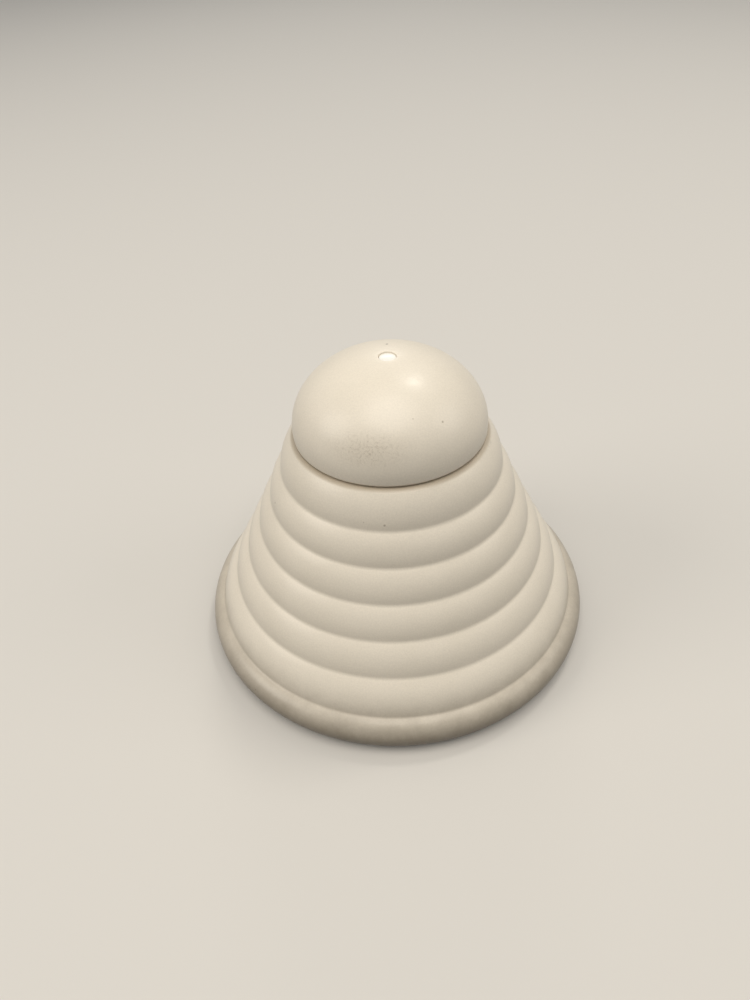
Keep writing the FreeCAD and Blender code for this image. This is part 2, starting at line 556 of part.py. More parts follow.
def make_rotor():
    """Ceramic cone with coarse and fine flutes on a square-bored hub, and the washer under it."""
    hub = new_body("rotor_hub")
    hex_sketch = new_sketch(hub, "flange_outline", level="rotor_level")
    outline(hex_sketch, hexagon("rotor_flange_radius"))
    raised(hub, "hex_flange", hex_sketch, "rotor_flange_height")
    post = new_sketch(hub, "post_circle", level="rotor_level")
    circle(post, "0", "0", "rotor_hub_radius")
    raised(hub, "post", post, "rotor_hub_height")
    bore = new_sketch(hub, "bore_outline", level="rotor_level - 1")
    outline(bore, square("spindle_width + 2 * running_fit", "hub_bore_corner"))
    sunk(hub, "square_bore", bore, "rotor_hub_height + 2")

    cone = new_body("cone_burr")
    top = "(rotor_level + burr_height + cone_drop)"
    bore_radius = "(rotor_hub_radius + fit / 2)"
    turned(cone, "cone", [(bore_radius, "rotor_level"), ("cone_radius", "rotor_level"), ("cone_tip", top),
                          (bore_radius, top)])
    seat = new_sketch(cone, "seat_outline", level="rotor_level")
    outline(seat, hexagon("rotor_flange_radius + fit"))
    sunk(cone, "hex_seat", seat, "rotor_flange_height + fit / 2")
    for name, count, level, depth_low, depth_high, half, twist in (
            ("coarse", "coarse_flutes", "(rotor_level + coarse_start)", "coarse_foot_depth", "coarse_top_depth",
             "coarse_half", "coarse_twist"),
            ("fine", "fine_flutes", "(rotor_level - 0.5)", "fine_foot_depth", "fine_top_depth",
             "fine_half", "fine_twist")):
        upper = f"{top} + 0.5" if name == "coarse" else "(rotor_level + fine_reach)"
        crest_low = f"(cone_radius - burr_slope * ({level} - rotor_level))"
        crest_high = f"(cone_radius - burr_slope * ({upper} - rotor_level))"
        low = new_sketch(cone, name + "_low", level=level)
        outline(low, [(f"{crest_low} - {depth_low}", "0"), (f"{crest_low} + 1", f"-{half}"),
                      (f"{crest_low} + 1", half)])
        high = new_sketch(cone, name + "_high", level=upper, turn=twist)
        outline(high, [(f"{crest_high} - {depth_high}", "0"), (f"{crest_high} + 1", f"-{half}"),
                       (f"{crest_high} + 1", half)])
        around(cone, name + "_pattern", [lofted_cut(cone, name + "_flute", low, high)], count)
    tube("thrust_washer", "hub_bore_corner", "rotor_hub_radius + 1", "nut_top", "rotor_level")


def make_spindle():
    """Square steel spindle with its stud, clips and washers, and the spring over the cone."""
    body = new_body("spindle")
    shoulder = "(rotor_level + grind_travel + stud_overrun)"
    bar = new_sketch(body, "bar_outline", level=shoulder)
    outline(bar, square("spindle_width", "spindle_corner"))
    raised(body, "bar", bar, f"spindle_top - {shoulder}")
    stud = new_sketch(body, "stud_circle", level="clip_foot - stud_overrun")
    circle(stud, "0", "0", "stud_radius")
    raised(body, "stud", stud, f"{shoulder} - clip_foot + stud_overrun")
    hub_clip = "(hub_top + 2 * washer_height)"
    for name, inner, low in (("upper_groove", "(spindle_corner - upper_groove)", hub_clip),
                             ("lower_groove", "(stud_radius - lower_groove)", "clip_foot")):
        turned(body, name, [(inner, low), ("spindle_corner + 1", low),
                            ("spindle_corner + 1", f"{low} + clip_height"), (inner, f"{low} + clip_height")],
               kind="Groove")
    clip("spindle_clip", "(spindle_corner - upper_groove)", "(spindle_corner + upper_clip_reach)", hub_clip)
    clip("end_clip", "(stud_radius - lower_groove)", "(stud_radius + lower_clip_reach)", "clip_foot")
    tube("hub_washer", "hub_bore_corner", "hub_radius - 1", "(hub_top + washer_height)", hub_clip)
    tube("spring_washer", "hub_bore_corner", "spring_radius + spring_wire", "spring_top",
         "(spring_top + washer_height)")
    bush = new_body("bridge_bush")
    turned(bush, "bush", [
        ("hub_bore_corner", "hub_level"), ("hub_bore_corner + bush_wall", "hub_level"),
        ("hub_bore_corner + bush_wall", "hub_top"), ("hub_radius - bush_flange_inset", "hub_top"),
        ("hub_radius - bush_flange_inset", "(hub_top + washer_height - fit)"),
        ("hub_bore_corner", "(hub_top + washer_height - fit)"),
    ])


def make_spring():
    """Compression spring between the cone's hub and its washer: a round wire wound as a helix."""
    body = new_body("cone_spring")
    section = new_sketch(body, "wire_section", "XZ_Plane")
    circle(section, "spring_radius", "spring_seat + spring_wire / 2 + fit", "spring_wire / 2")
    coil = body.newObject("PartDesign::AdditiveHelix", "coil")
    coil.Profile = section
    coil.ReferenceAxis = (section, ["V_Axis"])
    rise = "(spring_top - spring_seat - spring_wire - 2 * fit)"
    coil.setExpression("Height", bound(rise))
    coil.setExpression("Pitch", bound(f"{rise} / spring_turns"))
    doc.recompute()


def make_adjuster():
    """Grind knob with finger grooves, moulded around a brass insert that runs on the spindle's stud."""
    tube("adjuster_nut", "(stud_radius + running_fit)", "nut_radius", "nut_foot", "nut_top")
    body = new_body("adjuster_knob")
    knob_top = "(knob_foot + knob_height)"
    turned(body, "knob", [
        ("nut_radius + fit / 2", "knob_foot"), ("knob_radius - knob_chamfer", "knob_foot"),
        ("knob_radius", "(knob_foot + knob_chamfer)"), ("knob_radius", knob_top),
        ("nut_radius + fit / 2", knob_top),
    ])
    grip = new_sketch(body, "grip_circle", level="knob_foot - 1")
    circle(grip, "knob_radius + grip_offset", "0", "grip_radius")
    groove = sunk(body, "finger_groove", grip, "knob_height + 2")
    around(body, "finger_grooves", [groove], "knob_grips")


def make_funnel():
    """Hopper funnel: a skirt that stands on the housing's flange and a slope up to the body's wall."""
    body = new_body("hopper_funnel")
    inner_tube = "(housing_radius + fit)"
    outer_tube = f"({inner_tube} + funnel_wall)"
    lip = "(cup_radius + lip_inset)"
    lip_top = "(housing_top + lip_rise)"
    share = f"(({lip_top} + funnel_fall - rim_top) / (neck_level - rim_top))"
    hang = f"flare_sag * 4 * {share} * (1 - {share})"
    wall = f"(skirt_radius - (skirt_radius - neck_radius) * {share} - {hang})"
    edge = f"({wall} - shell_wall - funnel_gap)"
    slope = f"(funnel_fall / ({edge} - {lip}))"
    turned(body, "funnel", [
        (lip, "housing_top"), (inner_tube, "housing_top"), (inner_tube, "flange_top"),
        (outer_tube, "flange_top"),
        (outer_tube, f"{lip_top} + ({outer_tube} - {lip}) * {slope} - funnel_wall * 1.2"),
        (edge, f"{lip_top} + funnel_fall - funnel_wall * 1.2"), (edge, f"{lip_top} + funnel_fall"),
        (lip, lip_top),
    ])


def oval(across, rise, steps=5):
    """Outline corners down an oval centred at the head's widest, from its top to the head's lower edge."""
    corners = []
    for step in range(steps + 1):
        angle = f"(90 + (foot_angle - 90) * {step} / {steps})"
        corner = (f"({across}) * cos({angle})", f"dome_level + ({rise}) * sin({angle})")
        middle = f"(90 + (foot_angle - 90) * {step + 0.5} / {steps})"
        speed = f"sqrt((({across}) * sin({middle}))^2 + (({rise}) * cos({middle}))^2)"
        half = f"((90 - foot_angle) / {2 * steps})"
        bulge = f"(({across}) * ({rise}) * (1 - cos({half})) / {speed})"
        corners.append(corner + (bulge,) if step < steps else corner)
    return corners


def oval_level(across, rise, radius):
    """Level of an oval's surface at a radius from the axis."""
    return f"(dome_level + ({rise}) * sqrt(1 - (({radius}) / ({across}))^2))"


def make_dome():
    """Domed head shell: an oval cap with a crown boss and three screw bosses inside, and the crown's hole."""
    body = new_body("dome_shell")
    cap = oval("dome_radius", "dome_rise")
    turned(body, "cap", cap + [("0", "head_foot")])
    inner_radius, inner_rise = "(dome_radius - dome_wall)", "(dome_rise - dome_wall)"
    turned(body, "cavity", oval(inner_radius, inner_rise) + [
        (f"{inner_radius} * cos(foot_angle)", "head_foot - 1"), ("0", "head_foot - 1"),
    ], kind="Groove")
    crown = new_sketch(body, "crown_circle", level="socket_top + fit")
    circle(crown, "0", "0", "plug_radius + crown_boss_wall")
    raised(body, "crown_boss", crown, "crown_seat - socket_top")
    boss_radius = "(screw_radius + head_boss_wall)"
    inside = oval_level(inner_radius, inner_rise, f"head_screw_circle - {boss_radius}")
    outside = oval_level("dome_radius", "dome_rise", f"head_screw_circle + {boss_radius}")
    bosses = new_sketch(body, "boss_circle", level="head_plate_top")
    circle(bosses, "head_screw_circle", "0", boss_radius)
    boss = raised(body, "screw_boss", bosses, f"({inside} + {outside}) / 2 - head_plate_top")
    pilots = new_sketch(body, "pilot_circle", level="head_plate_top")
    circle(pilots, "head_screw_circle", "0", "screw_radius")
    pilot = sunk(body, "screw_pilot", pilots, "head_screw_length")
    around(body, "screw_bosses", [boss, pilot], "head_screw_count")
    shank = new_sketch(body, "crown_shank", level="socket_top - 1")
    circle(shank, "0", "0", "crown_screw_radius + fit")
    sunk(body, "crown_hole", shank, "crown_seat - socket_top + 2")
    seat = new_sketch(body, "crown_seat_circle", level="crown_seat")
    circle(seat, "0", "0", "plug_radius + fit / 2")
    sunk(body, "crown_counterbore", seat, "crown_level - crown_seat + 1")


def make_crown():
    """Screw that ties the head's crown to the drive socket, and the glossy plug over it."""
    screw = new_body("crown_screw")
    head_top = "(plug_top - plug_depth - fit / 2)"
    tip = "(socket_top - socket_cap + 0.5)"
    turned(screw, "crown_screw_blank", [
        ("0", head_top), ("plug_radius - fit", head_top), ("plug_radius - fit", "crown_seat"),
        ("crown_screw_radius", "crown_seat"), ("crown_screw_radius", f"{tip} + crown_screw_point"),
        ("0", tip),
    ])
    recess = new_sketch(screw, "crown_screw_recess", level=f"{head_top} - crown_drive_depth")
    outline(recess, hexagon("crown_screw_radius"))
    sunk(screw, "crown_screw_drive", recess, "1")
    plug = new_body("crown_plug")
    turned(plug, "plug", [
        ("0", "plug_top", "plug_crown"), ("plug_radius", "plug_top - plug_edge"),
        ("plug_radius", "plug_top - plug_depth"), ("0", "plug_top - plug_depth"),
    ])


def make_head_plate():
    """Plate that closes the head, with its spigot, O-ring, screws and the square-bored drive socket."""
    body = new_body("head_plate")
    seal_radius = "(mouth_radius - seal_gap - seal_wire)"
    seal_level = "(head_foot - spigot_depth / 2)"
    spigot_inner = "(spigot_radius - spigot_wall)"
    spigot_foot = "(head_foot - spigot_depth)"
    groove_root = f"({seal_radius} - seal_wire - 0.05)"
    groove_low, groove_high = f"({seal_level} - seal_wire - fit)", f"({seal_level} + seal_wire + fit)"
    bore = "(socket_radius + fit / 2)"
    turned(body, "plate", [
        (bore, "head_foot"), (spigot_inner, "head_foot"), (spigot_inner, spigot_foot),
        ("spigot_radius", spigot_foot), ("spigot_radius", groove_low), (groove_root, groove_low),
        (groove_root, groove_high), ("spigot_radius", groove_high), ("spigot_radius", "head_foot"),
        ("head_plate_radius", "head_foot"), ("head_plate_radius", "head_plate_top"),
        (f"{bore} + collar_wall", "head_plate_top"),
        (f"{bore} + collar_wall", "head_plate_top + collar_height"),
        (bore, "head_plate_top + collar_height"),
    ])
    counterbore = "(head_foot + screw_head_height + fit)"
    hole = turned(body, "screw_hole", [
        ("0", "head_foot - 1"), ("screw_head_radius + fit", "head_foot - 1"),
        ("screw_head_radius + fit", counterbore), ("screw_radius + fit", counterbore),
        ("screw_radius + fit", "head_plate_top + 1"), ("0", "head_plate_top + 1"),
    ], "head_screw_circle", "Groove")
    around(body, "screw_holes", [hole], "head_screw_count")
    screws("head_screws", "head_screw_circle", counterbore, "head_screw_count", "head_screw_length", False)

    seal = doc.addObject("Part::Torus", "head_seal")
    seal.setExpression("Radius1", bound(seal_radius))
    seal.setExpression("Radius2", bound("seal_wire"))
    seal.setExpression("Placement.Base.z", bound(seal_level))
    PARTS.append(seal)

    socket = new_body("drive_socket")
    flange_foot, flange_edge = "(head_foot - socket_flange_height)", "(socket_radius + socket_flange_width)"
    turned(socket, "socket", [
        ("0", flange_foot), (flange_edge, flange_foot), (flange_edge, "head_foot"),
        ("socket_radius", "head_foot"), ("socket_radius", "socket_top"), ("0", "socket_top"),
    ])
    square_bore = new_sketch(socket, "bore_outline", level="head_foot - 2")
    outline(square_bore, square("spindle_width + 2 * running_fit", "hub_bore_corner"))
    sunk(socket, "square_bore", square_bore, "socket_top - socket_cap - head_foot + 2")
    pilot = new_sketch(socket, "pilot_circle", level="socket_top - socket_cap - 1")
    circle(pilot, "0", "0", "crown_screw_radius")
    sunk(socket, "crown_pilot", pilot, "socket_cap + 2")
    tube("glide_ring", "glide_outer - glide_width", "glide_outer", "neck_level - glide_depth",
         "head_foot - glide_play")


def check_and_export():
    """Refuse a failed feature or a broken shape, then write each sub-part to its own STEP file."""
    doc.recompute()
    failed = [item.Label for item in doc.Objects if {"Invalid", "Error"} & set(item.State)]
    broken = [part.Label for part in PARTS if part.Shape.isNull() or not part.Shape.isValid()]
    if failed or broken:
        raise RuntimeError(f"failed: {failed}, broken: {broken}")
    os.makedirs("parts", exist_ok=True)
    for part in PARTS:
        part.Shape.exportStep(f"parts/{part.Label}.step")


dimensions = write_sheet("Dimensions", SIZES, "")
layout = write_sheet("Layout", LAYOUT, "=")
make_shell()
make_base()
make_housing()
make_stator()
make_funnel()
make_spindle()
make_spring()
make_rotor()
make_adjuster()
make_dome()
make_crown()
make_head_plate()
check_and_export()
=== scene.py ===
"""Looks of the ribbed pepper mill: an off-white moulded shell over a ceramic grinder.

Lengths in the classes are in millimetres; every mesh is built in metres, in the mill's own frame, with the
turning axis on Z and the surface it stands on at Z = 0.
"""

import json
import logging
import math
from dataclasses import dataclass, field
from enum import Enum

import bmesh
import bpy
from mathutils import Matrix, Vector

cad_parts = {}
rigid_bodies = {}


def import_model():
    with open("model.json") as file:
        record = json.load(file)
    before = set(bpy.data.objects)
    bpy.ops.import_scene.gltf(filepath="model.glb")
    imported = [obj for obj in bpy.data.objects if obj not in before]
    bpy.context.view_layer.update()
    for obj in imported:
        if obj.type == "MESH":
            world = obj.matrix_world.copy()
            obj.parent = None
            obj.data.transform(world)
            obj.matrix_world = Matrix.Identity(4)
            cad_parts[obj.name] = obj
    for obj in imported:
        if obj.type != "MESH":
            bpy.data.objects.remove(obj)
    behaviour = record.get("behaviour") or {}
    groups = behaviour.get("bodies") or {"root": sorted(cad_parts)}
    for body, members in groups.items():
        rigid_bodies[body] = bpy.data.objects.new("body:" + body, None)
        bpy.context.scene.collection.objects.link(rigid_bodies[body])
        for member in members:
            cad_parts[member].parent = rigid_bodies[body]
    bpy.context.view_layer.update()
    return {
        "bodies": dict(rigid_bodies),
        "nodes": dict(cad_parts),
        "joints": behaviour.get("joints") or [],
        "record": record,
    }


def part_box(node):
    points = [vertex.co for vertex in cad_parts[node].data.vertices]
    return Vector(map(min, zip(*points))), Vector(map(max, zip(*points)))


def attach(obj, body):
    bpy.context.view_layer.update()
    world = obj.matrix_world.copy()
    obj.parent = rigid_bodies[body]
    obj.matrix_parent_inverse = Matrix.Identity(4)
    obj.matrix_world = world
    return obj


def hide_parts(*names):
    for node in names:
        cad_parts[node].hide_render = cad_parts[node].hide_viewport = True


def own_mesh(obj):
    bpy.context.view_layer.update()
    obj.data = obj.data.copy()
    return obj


MM = 0.001
LOG = logging.getLogger("pepper_mill")


def linear(code: str) -> tuple[float, float, float, float]:
    """Turn an sRGB hex colour into Blender's linear colour.

    Args:
        code: Six hex digits after a hash.

    Returns:
        Red, green, blue and an alpha of 1.
    """
    parts = [int(code[at:at + 2], 16) / 255 for at in (1, 3, 5)]
    channels = [part / 12.92 if part <= 0.04045 else ((part + 0.055) / 1.055) ** 2.4 for part in parts]
    return (*channels, 1.0)


def per_mm(size: float) -> float:
    """Texture scale, in repeats per metre, of a feature that is size millimetres long."""
    return 1.0 / (size * MM)


def add_node(tree: bpy.types.NodeTree, kind: str, links: dict | None = None, inputs: dict | None = None,
             **settings) -> bpy.types.Node:
    """Add one node with its settings, constant inputs and incoming links.

    Args:
        tree: Material's node tree.
        kind: Node type, such as ShaderNodeTexNoise.
        links: Input name or number to the output socket that feeds it.
        inputs: Input name or number to a constant value.
        **settings: Properties of the node itself.

    Returns:
        The new node.
    """
    node = tree.nodes.new(kind)
    for name, value in settings.items():
        setattr(node, name, value)
    for name, value in (inputs or {}).items():
        node.inputs[name].default_value = value
    for name, socket in (links or {}).items():
        tree.links.new(socket, node.inputs[name])
    return node


class Axis(Enum):
    """Direction that a drawn or brushed metal's grain runs in, as stretches of its noise along X, Y and Z."""

    ROUND = (1.0, 1.0, 14.0)
    ALONG = (14.0, 14.0, 1.0)


@dataclass(frozen=True)
class Finish:
    """A material: what all finishes share."""

    name: str
    colour: str
    roughness: float

    def build(self) -> bpy.types.Material:
        """Make the material with its own nodes."""
        material = bpy.data.materials.new(self.name)
        material.use_nodes = True
        tree = material.node_tree
        shader = next(node for node in tree.nodes if node.type == "BSDF_PRINCIPLED")
        shader.inputs["Base Color"].default_value = linear(self.colour)
        shader.inputs["Roughness"].default_value = self.roughness
        self.dress(tree, shader)
        return material

    def dress(self, tree: bpy.types.NodeTree, shader: bpy.types.Node) -> None:
        """Add the nodes that are this finish's own.

        Args:
            tree: Material's node tree.
            shader: Its Principled shader.
        """


@dataclass(frozen=True)
class MouldedPlastic(Finish):
    """Moulded ABS: light scatters in its skin, and the mould's spark-eroded texture breaks up every glint."""

    grain: float = 0.35
    grain_height: float = 0.012
    peel: float = 1.6
    peel_height: float = 0.012
    mottle: str = "#D8CFBC"

    def skin(self, tree: bpy.types.NodeTree, shader: bpy.types.Node) -> tuple:
        """Wire the grain, the orange peel and the faint mottling.

        Args:
            tree: Material's node tree.
            shader: Its Principled shader.

        Returns:
            Coordinate socket, colour socket and roughness socket for a subclass to go on with.
        """
        shader.inputs["IOR"].default_value = 1.53
        place = add_node(tree, "ShaderNodeTexCoord").outputs["Object"]
        grain = add_node(tree, "ShaderNodeTexNoise", {"Vector": place},
                         {"Scale": per_mm(self.grain), "Detail": 2.0, "Roughness": 0.6})
        peel = add_node(tree, "ShaderNodeTexNoise", {"Vector": place},
                        {"Scale": per_mm(self.peel), "Detail": 1.0, "Roughness": 0.4})
        broad = add_node(tree, "ShaderNodeBump", {"Height": peel.outputs["Fac"]},
                         {"Strength": 1.0, "Distance": self.peel_height * MM})
        fine = add_node(tree, "ShaderNodeBump", {"Height": grain.outputs["Fac"], "Normal": broad.outputs["Normal"]},
                        {"Strength": 1.0, "Distance": self.grain_height * MM})
        tree.links.new(fine.outputs["Normal"], shader.inputs["Normal"])
        cloud = add_node(tree, "ShaderNodeTexNoise", {"Vector": place},
                         {"Scale": per_mm(14.0), "Detail": 4.0, "Roughness": 0.55})
        share = add_node(tree, "ShaderNodeMapRange", {"Value": cloud.outputs["Fac"]},
                         {"From Min": 0.35, "From Max": 0.75, "To Min": 0.0, "To Max": 0.22})
        colour = add_node(tree, "ShaderNodeMix", {"Factor": share.outputs["Result"]},
                          {"A": linear(self.colour), "B": linear(self.mottle)}, data_type="RGBA")
        speckle = add_node(tree, "ShaderNodeMapRange", {"Value": grain.outputs["Fac"]},
                           {"From Min": 0.3, "From Max": 0.7, "To Min": 0.955, "To Max": 1.035})
        grained = add_node(tree, "ShaderNodeVectorMath", {0: colour.outputs["Result"]}, operation="SCALE")
        tree.links.new(speckle.outputs["Result"], grained.inputs["Scale"])
        rough = add_node(tree, "ShaderNodeMapRange", {"Value": grain.outputs["Fac"]},
                         {"From Min": 0.3, "From Max": 0.7, "To Min": self.roughness - 0.05,
                          "To Max": self.roughness + 0.05})
        return place, grained.outputs["Vector"], rough.outputs["Result"]

    def dress(self, tree: bpy.types.NodeTree, shader: bpy.types.Node) -> None:
        """Wire the skin straight to the shader."""
        _, colour, rough = self.skin(tree, shader)
        tree.links.new(colour, shader.inputs["Base Color"])
        tree.links.new(rough, shader.inputs["Roughness"])


@dataclass(frozen=True)
class HandledPlastic(MouldedPlastic):
    """The same plastic after years of use: rubbed-in dirt, specks, painted shade under the cap's edge, and a brown
    band low on the rim that is partly soil and partly painted shade of the dark ground.
    """

    # Brown of the finger smudge and the specks, which are dirt; the same brown also paints the shade under the cap's
    # edge.
    grime_and_shade: str = "#8C7A5E"
    smudge_at: tuple[float, float, float] = (-5.0, -20.2, 65.0)
    smudge_reach: float = 13.0
    smudge_squat: float = 2.6
    smudge_strength: float = 0.5
    smudge_haze: float = 0.13
    speck_at: tuple[float, float, float] = (0.0, 6.4, 74.7)
    speck_radius: float = 0.45
    speck_tint: str = "#4A4236"
    # Painted shade: a band of the dirt brown darkens the neck just under the cap's edge, as the cap's shadow would.
    seam_level: float = 56.42
    seam_reach: float = 0.55
    seam_strength: float = 0.55
    # Brown towards the bottom, up over the rim and into the lowest rib: partly soil where the mill is set down,
    # partly painted shade of the dark ground under it.
    foot_level: float = 15.0
    foot_soil_and_shade_tint: str = "#63553F"
    edge_tint: float = 1.0
    gloss: float = 0.3
    gloss_roughness: float = 0.22
    ripple: float = 1.1
    ripple_height: float = 0.045

    def spot(self, tree: bpy.types.NodeTree, place, centre: tuple, reach: float, squat: float = 1.0):
        """Soft mask about a point: 1 in its middle and 0 at its edge.

        Args:
            tree: Material's node tree.
            place: Coordinate socket.
            centre: Middle of the spot in millimetres.
            reach: Radius in millimetres.
            squat: How many times lower than wide the spot is.

        Returns:
            Socket with the mask.
        """
        flat = (1.0, 1.0, squat)
        pressed = add_node(tree, "ShaderNodeVectorMath", {0: place}, {1: flat}, operation="MULTIPLY")
        away = add_node(tree, "ShaderNodeVectorMath", {0: pressed.outputs["Vector"]},
                        {1: Vector(centre) * Vector(flat) * MM}, operation="DISTANCE")
        fade = add_node(tree, "ShaderNodeMapRange", {"Value": away.outputs["Value"]},
                        {"From Min": 0.0, "From Max": reach * MM, "To Min": 1.0, "To Max": 0.0},
                        interpolation_type="SMOOTHSTEP")
        return fade.outputs["Result"]

    def smudge(self, tree: bpy.types.NodeTree, place):
        """Mask of the finger smudge: a low wide spot broken up into fine speckle."""
        rub = add_node(tree, "ShaderNodeTexNoise", {"Vector": place},
                       {"Scale": per_mm(0.55), "Detail": 5.0, "Roughness": 0.85})
        broken = add_node(tree, "ShaderNodeMapRange", {"Value": rub.outputs["Fac"]},
                          {"From Min": 0.5, "From Max": 0.64, "To Min": self.smudge_haze,
                           "To Max": self.smudge_strength})
        spot = self.spot(tree, place, self.smudge_at, self.smudge_reach, self.smudge_squat)
        return add_node(tree, "ShaderNodeMath", {0: spot, 1: broken.outputs["Result"]},
                        operation="MULTIPLY").outputs["Value"]

    def cap_edge_shade(self, tree: bpy.types.NodeTree, level):
        """Mask of painted shade on the neck, under the cap's edge, where the cap's shadow falls."""
        above = add_node(tree, "ShaderNodeMath", {0: level}, {1: self.seam_level * MM}, operation="SUBTRACT")
        away = add_node(tree, "ShaderNodeMath", {0: above.outputs["Value"]}, operation="ABSOLUTE")
        return add_node(tree, "ShaderNodeMapRange", {"Value": away.outputs["Value"]},
                        {"From Min": 0.0, "From Max": self.seam_reach * MM, "To Min": self.seam_strength,
                         "To Max": 0.0}, interpolation_type="SMOOTHSTEP").outputs["Result"]

    def dress(self, tree: bpy.types.NodeTree, shader: bpy.types.Node) -> None:
        """Wire the skin, then the smudge, the specks, the painted shade under the cap's edge, and the brown band of
        soil and painted shade towards the bottom over it.
        """
        shader.inputs["Coat Weight"].default_value = self.gloss
        shader.inputs["Coat Roughness"].default_value = self.gloss_roughness
        place, colour, rough = self.skin(tree, shader)
        ripple = add_node(tree, "ShaderNodeTexNoise", {"Vector": place},
                          {"Scale": per_mm(self.ripple), "Detail": 2.0, "Roughness": 0.6})
        waves = add_node(tree, "ShaderNodeBump", {"Height": ripple.outputs["Fac"]},
                         {"Strength": 1.0, "Distance": self.ripple_height * MM})
        tree.links.new(waves.outputs["Normal"], shader.inputs["Coat Normal"])
        height = add_node(tree, "ShaderNodeSeparateXYZ", {"Vector": place})
        smudged = add_node(tree, "ShaderNodeMix", {"Factor": self.smudge(tree, place), "A": colour},
                           {"B": linear(self.grime_and_shade)}, data_type="RGBA")
        # Painted shade: the neck just under the cap's edge is darkened in the dirt brown, as if in the cap's shadow.
        seamed = add_node(tree, "ShaderNodeMix",
                          {"Factor": self.cap_edge_shade(tree, height.outputs["Z"]), "A": smudged.outputs["Result"]},
                          {"B": linear(self.grime_and_shade)}, data_type="RGBA")
        marked = add_node(tree, "ShaderNodeMix",
                          {"Factor": self.spot(tree, place, self.speck_at, self.speck_radius),
                           "A": seamed.outputs["Result"]}, {"B": linear(self.speck_tint)}, data_type="RGBA")
        dots = add_node(tree, "ShaderNodeTexVoronoi", {"Vector": place}, {"Scale": per_mm(5.0), "Randomness": 1.0})
        near = add_node(tree, "ShaderNodeMapRange", {"Value": dots.outputs["Distance"]},
                        {"From Min": 0.035, "From Max": 0.065, "To Min": 0.55, "To Max": 0.0})
        some = add_node(tree, "ShaderNodeMath", {0: dots.outputs["Color"]}, {1: 0.72}, operation="GREATER_THAN")
        specks = add_node(tree, "ShaderNodeMath", {0: near.outputs["Result"], 1: some.outputs["Value"]},
                          operation="MULTIPLY")
        specked = add_node(tree, "ShaderNodeMix", {"Factor": specks.outputs["Value"], "A": marked.outputs["Result"]},
                           {"B": linear(self.grime_and_shade)}, data_type="RGBA")
        # Painted shade and soil: the colour turns brown towards the bottom under a ragged upper edge; partly dirt,
        # partly the shade of the dark ground.
        ragged = add_node(tree, "ShaderNodeTexNoise", {"Vector": place},
                          {"Scale": per_mm(6.0), "Detail": 5.0, "Roughness": 0.7})
        shift = add_node(tree, "ShaderNodeMath", {0: ragged.outputs["Fac"]}, {1: 4.0 * MM, 2: -2.0 * MM},
                         operation="MULTIPLY_ADD")
        level = add_node(tree, "ShaderNodeMath", {0: height.outputs["Z"], 1: shift.outputs["Value"]},
                         operation="ADD")
        foot = add_node(tree, "ShaderNodeMapRange", {"Value": level.outputs["Value"]},
                        {"From Min": 0.2 * MM, "From Max": self.foot_level * MM, "To Min": self.edge_tint,
                         "To Max": 0.0}, interpolation_type="SMOOTHSTEP")
        soiled_and_shaded = add_node(tree, "ShaderNodeMix", {"Factor": foot.outputs["Result"], "A": specked.outputs["Result"]},
                          {"B": linear(self.foot_soil_and_shade_tint)}, data_type="RGBA")
        tree.links.new(soiled_and_shaded.outputs["Result"], shader.inputs["Base Color"])
        tree.links.new(rough, shader.inputs["Roughness"])


@dataclass(frozen=True)
class WorkedMetal(Finish):
    """Drawn, turned or plated metal: fine marks that run one way stretch every glint across them."""

    marks: Axis = Axis.ALONG
    mark_width: float = 0.12
    tarnish: str = "#8A8880"

    def dress(self, tree: bpy.types.NodeTree, shader: bpy.types.Node) -> None:
        """Wire the marks to the bump and the roughness, and a thin tarnish to the colour."""
        shader.inputs["Metallic"].default_value = 1.0
        place = add_node(tree, "ShaderNodeTexCoord").outputs["Object"]
        stretched = add_node(tree, "ShaderNodeMapping", {"Vector": place}, {"Scale": self.marks.value})
        marks = add_node(tree, "ShaderNodeTexNoise", {"Vector": stretched.outputs["Vector"]},
                         {"Scale": per_mm(self.mark_width) / 14.0, "Detail": 3.0, "Roughness": 0.6})
        bump = add_node(tree, "ShaderNodeBump", {"Height": marks.outputs["Fac"]},
                        {"Strength": 0.6, "Distance": 0.004 * MM})
        tree.links.new(bump.outputs["Normal"], shader.inputs["Normal"])
        rough = add_node(tree, "ShaderNodeMapRange", {"Value": marks.outputs["Fac"]},
                         {"To Min": self.roughness - 0.08, "To Max": self.roughness + 0.08})
        tree.links.new(rough.outputs["Result"], shader.inputs["Roughness"])
        cloud = add_node(tree, "ShaderNodeTexNoise", {"Vector": place},
                         {"Scale": per_mm(3.0), "Detail": 4.0, "Roughness": 0.6})
        share = add_node(tree, "ShaderNodeMapRange", {"Value": cloud.outputs["Fac"]},
                         {"From Min": 0.45, "From Max": 0.8, "To Min": 0.0, "To Max": 0.5})
        colour = add_node(tree, "ShaderNodeMix", {"Factor": share.outputs["Result"]},
                          {"A": linear(self.colour), "B": linear(self.tarnish)}, data_type="RGBA")
        tree.links.new(colour.outputs["Result"], shader.inputs["Base Color"])


